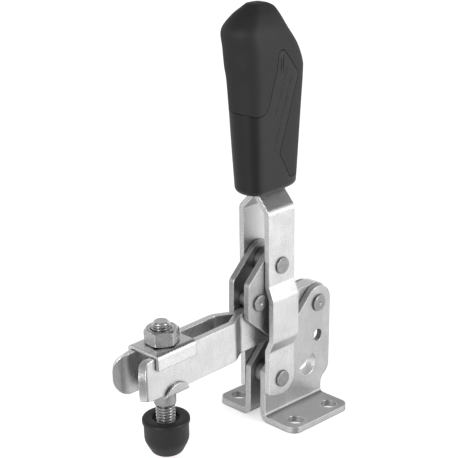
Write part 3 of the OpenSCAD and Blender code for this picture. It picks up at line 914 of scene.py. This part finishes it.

# %% [markdown]
# The plates are stamped from steel sheet and zinc plated. Their faces are satin, a little
# mottled and finely pitted, and their sheared edges are rougher. The normal tells face from
# edge, because a plate lies flat in XZ and its faces look along Y. Feet and washers are
# bent over, so up to a given height faces that look up count too. Metal that lies slanted,
# as at a bend, is painted darker as painted shade.

# %% Face, edge and bend of a sheet
def sheet_sides(paint, bent_below):
    """Shares of sheet face and of slanted metal, which gets painted shade."""
    normal = paint.node("ShaderNodeTexCoord", {}, {}, "Normal")
    _, sideways, upwards = paint.xyz(normal)
    height = paint.xyz(paint.place)[2]
    is_bent = paint.calc("LESS_THAN", height, bent_below * MM)
    upwards = paint.calc("ABSOLUTE", upwards) * is_bent
    towards_face = paint.calc("MAXIMUM", paint.calc("ABSOLUTE", sideways), upwards)
    face = paint.clamp(towards_face, 0.35, 0.8)
    return face, 1 - paint.clamp(towards_face, 0.86, 0.97)


DISH_X, DISH_Z, DISH_R = -9.1 * MM, 18.9 * MM, 5.6 * MM
DISH_FROM, DISH_TO = 5.4 * MM, 5.75 * MM


def drawn_dish(paint):
    """Marks the pressed lug in the web, whose drawn metal is burnished bright."""
    x, y, z = paint.xyz(paint.place)
    away = ((x - DISH_X) ** 2 + (z - DISH_Z) ** 2) ** 0.5
    inside = 1 - paint.clamp(away, DISH_R - 0.2 * MM, DISH_R)
    return inside * (1 - paint.clamp(paint.calc("ABSOLUTE", y), DISH_FROM, DISH_TO))


print("pressed lug at x", round(DISH_X / MM, 1), "z", round(DISH_Z / MM, 1))

# %% [markdown]
# The sheet's own finish mixes three noises: wide clouds from the plating bath, fine pits,
# and short upright streaks from rolling. An image of zinc could be wrapped on instead, but
# noise in the clamp's space has no seams and any sharpness. Over it come painted shade on
# slanted metal, sheared edges with a rougher finish and a tone lifted as painted light, the
# painted edge tone at the corners, and painted shade where pieces meet.

# %% Sheet steel
SHEET_EDGE_R = 0.5 * MM
JOINT_SHADE_REACH = 1.4 * MM
SHEET_PITS = 0.03 * MM


def sheet_steel(
    name, tone, roughness, bent_below=-1.0, dish=False,
    edge_tone_and_light=1.1, edge_pits=0.9, painted_edge_tone=1.0, joint_shade_from=0.85,
):
    paint = Paint(bpy.data.materials.new(name))
    face, slant_shade = sheet_sides(paint, bent_below)
    cloud = contrast(paint, noise(paint, 120, 3, 0.6))
    pits = contrast(paint, noise(paint, 2300, 2, 0.7))
    streak = contrast(paint, noise(paint, 1300, 2, 0.5, stretch=(1, 1, 0.10)))
    level = cloud * 0.25 + pits * 0.6 + streak * 0.15
    flat = paint.mix(level, grey(tone * 0.80), grey(tone * 1.15))
    # Painted shade: slanted metal is darkened
    flat = paint.mix(slant_shade * 0.42, flat, grey(0.0))
    # Sheared edges: a rougher real finish, and a tone lifted as painted light
    sheared_and_lit = paint.mix(pits, grey(tone * edge_tone_and_light * 0.75), grey(tone * edge_tone_and_light * 1.2))
    painted_edge, rounded = painted_edges(paint, SHEET_EDGE_R)
    # Painted edge tone: mostly a painted highlight on the corners, dark on the saddle as
    # painted shade
    color = paint.mix(painted_edge * 0.85, paint.mix(face, sheared_and_lit, flat), grey(painted_edge_tone))
    # Painted shade where pieces meet
    color = paint.mix(joint_shade(paint, JOINT_SHADE_REACH, 0.25, joint_shade_from) * 0.85, color, grey(0.02))
    if dish:
        color = paint.mix(drawn_dish(paint) * 0.8, color, grey(1.0))
    rough = pits * 0.14 + cloud * 0.05 + (roughness - 0.10) + (1 - face) * 0.06 - painted_edge * 0.10
    height = pits * (edge_pits + face * (0.7 - edge_pits)) + streak * 0.3
    normal = relief(paint, height, SHEET_PITS, 0.5, rounded)
    sockets = {"Base Color": color, "Metallic": 1.0, "Roughness": rough, "Normal": normal}
    return finish(paint, sockets)


print("pits in the sheet are", round(SHEET_PITS / MM, 2), "mm deep")

# %% [markdown]
# Each kind of plate has its own tone. The base is the roughest and has the coarsest edges,
# the links are the darkest, and the arm and its saddle are the brightest. The saddle's rim
# is painted dark, a painted shade along its thin flange that sets the flange off from the
# bar. A texture for each would repeat the same recipe, so all the plates call one function
# with their own numbers.

# %% Finishes of the plates
ALL_HEIGHTS = 100
FOOT_TOP = 6

base_steel = sheet_steel(
    "base steel", 0.53, 0.40, bent_below=FOOT_TOP, dish=True, edge_pits=2.4,
)
link_steel = sheet_steel("link steel", 0.46, 0.38)
arm_steel = sheet_steel("arm steel", 0.75, 0.34, edge_tone_and_light=1.3, joint_shade_from=1.0)
# The saddle's dark edge tone is painted shade along its flange
saddle_steel = sheet_steel("saddle steel", 0.84, 0.31, bent_below=ALL_HEIGHTS, painted_edge_tone=0.30)
lower_steel = sheet_steel("lower washer steel", 0.55, 0.36, bent_below=ALL_HEIGHTS)
lever_steel = sheet_steel("lever steel", 0.69, 0.38)
coat(base_steel, "base_plate_left", "base_plate_right")
coat(link_steel, "link_plate_left", "link_plate_right")
coat(arm_steel, "arm_bar_left", "arm_bar_right")
coat(saddle_steel, "saddle_washer")
coat(lower_steel, "lower_washer")
coat(lever_steel, "lever_plate_left", "lever_plate_right")

# %% [markdown]
# Rivets, sleeves and the nut are turned or cold formed, so they have no sheet face and no
# sheared edge. The sheet's recipe would look for both, so these pieces get a shorter one,
# with spots rather than streaks. The riveted heads are darker than the plates, and the nut
# is nearly as bright.

# %% Rivets, sleeves and nut
TURNED_EDGE_R = 0.4 * MM
TURNED_SHADE_REACH = 0.9 * MM
TURNED_PITS = 0.02 * MM


def turned_steel(name, tone, roughness, painted_edge_tone):
    paint = Paint(bpy.data.materials.new(name))
    grain = contrast(paint, noise(paint, 2200, 3, 0.6))
    spots = contrast(paint, noise(paint, 500), 0.35)
    bare = paint.mix(spots * 0.5 + grain * 0.5, grey(tone * 0.82), grey(tone * 1.14))
    painted_edge, rounded = painted_edges(paint, TURNED_EDGE_R)
    # Painted highlight on the corners
    color = paint.mix(painted_edge * 0.8, bare, grey(painted_edge_tone))
    # Painted shade where pieces meet
    color = paint.mix(joint_shade(paint, TURNED_SHADE_REACH, 0.5, 0.95) * 0.8, color, grey(0.02))
    rough = grain * 0.16 + (roughness - 0.08)
    normal = relief(paint, grain, TURNED_PITS, 0.4, rounded)
    sockets = {"Base Color": color, "Metallic": 1.0, "Roughness": rough, "Normal": normal}
    return finish(paint, sockets)


coat(
    turned_steel("rivet steel", 0.33, 0.40, painted_edge_tone=0.7),
    "lever_pivot_rivet", "arm_pivot_rivet", "stop_rivet", "link_rivet", "top_rivet_heads",
    "top_pin", "lever_pivot_sleeve", "arm_pivot_bush", "link_bush", "stop_sleeve",
    "top_sleeve",
)
coat(turned_steel("nut steel", 0.67, 0.28, painted_edge_tone=0.95), nut)

# %% [markdown]
# A rolled thread's roots are painted dark, partly as painted shade down in the grooves and
# partly as oil that stays there, and they are rougher than the crests. The distance from
# the spindle's axis tells one from the other, at any height. It comes from a cross product
# with the axis. The chamfered end counts as a crest, and the collar, which stands further
# out than any crest, is a little darker.

# %% Steel of the thread
CREST_FROM, CREST_FULL = 3.4 * MM, 3.85 * MM
COLLAR_FROM, COLLAR_FULL = 4.05 * MM, 4.2 * MM
TOP_END = 1.4


def thread_steel(name, tone, roughness):
    paint = Paint(bpy.data.materials.new(name))
    inputs = {0: paint.place, 1: SPINDLE_FOOT}
    spoke = paint.node("ShaderNodeVectorMath", {"operation": "SUBTRACT"}, inputs)
    inputs = {0: spoke, 1: SPINDLE_AXIS}
    across = paint.node("ShaderNodeVectorMath", {"operation": "CROSS_PRODUCT"}, inputs)
    inputs = {0: across}
    radius = paint.node("ShaderNodeVectorMath", {"operation": "LENGTH"}, inputs, "Value")
    height = paint.xyz(paint.place)[2]
    at_end = paint.calc("GREATER_THAN", height, on_spindle(0, 0, SPINDLE_TOP - TOP_END).z)
    unshaded_crest = paint.calc("MAXIMUM", paint.clamp(radius, CREST_FROM, CREST_FULL), at_end)
    grain = noise(paint, 500)
    metal = paint.mix(grain, grey(tone * 0.85), grey(tone * 1.10))
    collar = paint.clamp(radius, COLLAR_FROM, COLLAR_FULL)
    metal = paint.mix(collar, metal, grey(tone * 0.55))
    # Painted shade in the roots, which also stands for oil there
    color = paint.mix(unshaded_crest, grey(tone * 0.30), metal)
    rough = (1 - unshaded_crest) * 0.2 + grain * 0.1 + (roughness - 0.05)
    return finish(paint, {"Base Color": color, "Metallic": 1.0, "Roughness": rough})


coat(thread_steel("spindle steel", 0.72, 0.26), spindle)

# %% [markdown]
# The grip's hard core has a slight gloss, its soft cover is matt, and the cap is smooth
# rubber. All three are black and differ in how rough they are and how coarse their grain
# is, so one function makes them. Black plastic mirrors a little less than the shader's
# standard, and the specular level is lowered on its socket.

# %% Plastic and rubber
PLASTIC_EDGE_R = 0.3 * MM
PLASTIC_MIRROR = 0.4


def black_plastic(name, tone, roughness, grain_size, depth):
    paint = Paint(bpy.data.materials.new(name))
    grain = noise(paint, 1 / grain_size, 2, 0.6)
    cloud = noise(paint, 60)
    color = paint.mix(cloud, grey(tone * 0.9), grey(tone * 1.1))
    rough = grain * 0.12 + (roughness - 0.06)
    normal = relief(paint, grain, depth, 0.6, round_edges(paint, PLASTIC_EDGE_R))
    return finish(paint, {
        "Base Color": color, "Roughness": rough, "Normal": normal,
        "Specular IOR Level": PLASTIC_MIRROR,
    })


coat(black_plastic("grip core", 0.010, 0.32, 0.5 * MM, 0.03 * MM), core, grip_ribs)
coat(black_plastic("grip cover", 0.013, 0.62, 0.4 * MM, 0.03 * MM), cover)
coat(black_plastic("cap rubber", 0.011, 0.46, 0.6 * MM, 0.02 * MM), cap)

# %% [markdown]
# A product picture is lit over a white table. Steel shows mostly what it mirrors, so the
# table is white in a mirror too, apart from a strip in front and a side that fall off to
# grey, as they do under a dark flag, a board that photographers set up to shape what metal
# shows. The table adds a little glow to what the camera sees, so that it is white all over
# and still keeps the soft shadow under the clamp.

# %% White table
# Directions over the table, as shares of X and Y
FRONT = (0.708, 0.706)
LEFT = (0.706, -0.708)
TABLE_DROP = 0.1 * MM
TABLE_TONE, CAMERA_GLOW, GLOSS_GLOW = 0.80, 0.55, 0.25


def ray_kinds(paint):
    """Whether a ray comes from the camera, or from a glossy or clear surface."""
    kinds = "Is Camera Ray", "Is Glossy Ray", "Is Transmission Ray"
    by_camera, glossy, clear = paint.node("ShaderNodeLightPath", {}, {}, *kinds)
    return by_camera, paint.calc("MAXIMUM", glossy, clear)


select_only()
bpy.ops.mesh.primitive_plane_add(size=8, location=(0, 0, cad_box[0].z - TABLE_DROP))
floor = bpy.context.object
floor.name = "floor"
floor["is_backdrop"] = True
table = Paint(bpy.data.materials.new("floor"))
by_camera, by_gloss = ray_kinds(table)
x, y, _ = table.xyz(table.place)
frontwards = x * FRONT[0] + y * FRONT[1]
leftwards = x * LEFT[0] + y * LEFT[1]
outwards = (x * x + y * y) ** 0.5 + 0.001
in_front = table.clamp(frontwards / outwards, 0.82, 0.96) * table.clamp(outwards, 0.05, 0.12)
mirrored = (1 - in_front * 0.65) * (1 - table.clamp(leftwards, 0.03, 0.22) * 0.4)
gloss_glow = table.mix(by_gloss * mirrored, grey(0), grey(GLOSS_GLOW))
floor.data.materials.append(finish(table, {
    "Base Color": table.mix(by_gloss * (1 - mirrored), grey(TABLE_TONE), grey(0.0)),
    "Roughness": 0.9,
    "Emission Color": table.mix(by_camera, gloss_glow, grey(CAMERA_GLOW)),
    "Emission Strength": 1.0,
}))
print("table under the clamp at z", round(floor.location.z / MM, 1), "mm")

# %% [markdown]
# The room is white for the camera, which makes the background, and an even grey as light.
# In a mirror it darkens with height and in front of the clamp, and that gives the plates
# their greys: a real studio has a dark ceiling and the photographer's side is unlit. Walls
# could be built for that, but the world's colour by direction does it in a few nodes.

# %% Room
ROOM_LIGHT = 0.60
CEILING_FROM, CEILING_FULL, CEILING_TONE = 0.20, 0.62, 0.24
UNLIT_FROM, UNLIT_FULL, UNLIT_TONE, UNLIT_SHARE = 0.70, 0.95, 0.1, 0.7

world = bpy.data.worlds.new("studio")
bpy.context.scene.world = world
room = Paint(world, "Generated")
by_camera, by_gloss = ray_kinds(room)
x, y, z = room.xyz(room.place)
mirrored = room.mix(room.clamp(z, CEILING_FROM, CEILING_FULL), grey(1.0), grey(CEILING_TONE))
unlit = room.clamp(x * FRONT[0] + y * FRONT[1], UNLIT_FROM, UNLIT_FULL) * UNLIT_SHARE
mirrored = room.mix(unlit, mirrored, grey(UNLIT_TONE))
seen = room.mix(by_camera, room.mix(by_gloss, grey(ROOM_LIGHT), mirrored), grey(1.0))
room_light = room.node("ShaderNodeBackground", {}, {"Color": seen, "Strength": 1.0})
room.node("ShaderNodeOutputWorld", {}, {"Surface": room_light})
print("the room lights the clamp with", ROOM_LIGHT)

# %% [markdown]
# Two tall soft boxes model the forms. Bare lamps would show as hot spots in the metal, and
# a box of half a metre shows as a soft band. The larger one lights the broad sides of the
# plates from the right, and the smaller one stands off the end of the arm. Their power is
# low enough that pale metal keeps its own tone.

# %% Soft boxes
LAMP_AIM = Vector((0.02, 0, 0.08))


def soft_box(name, place, width, height, power):
    data = bpy.data.lights.new(name, "AREA")
    data.shape = "RECTANGLE"
    data.size = width
    data.size_y = height
    data.energy = power
    box = bpy.data.objects.new(name, data)
    box.location = place
    box.rotation_euler = (LAMP_AIM - Vector(place)).to_track_quat("-Z", "Y").to_euler()
    bpy.context.scene.collection.objects.link(box)
    print(name, "soft box of", power, "W")


soft_box("key", (-0.35, 1.0, 0.36), 0.5, 0.8, 6.5)
soft_box("front", (1.0, 0.15, 0.40), 0.35, 0.7, 5)

# %% [markdown]
# At the end the box of the whole model is compared with the box of the solids, because
# finishes and details must not change the clamp's size.

# %% Sizes
model_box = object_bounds()
grown = (model_box[1] - cad_box[1]) / MM
print("the upper corner of the box has moved by", [round(side, 2) for side in grown], "mm")
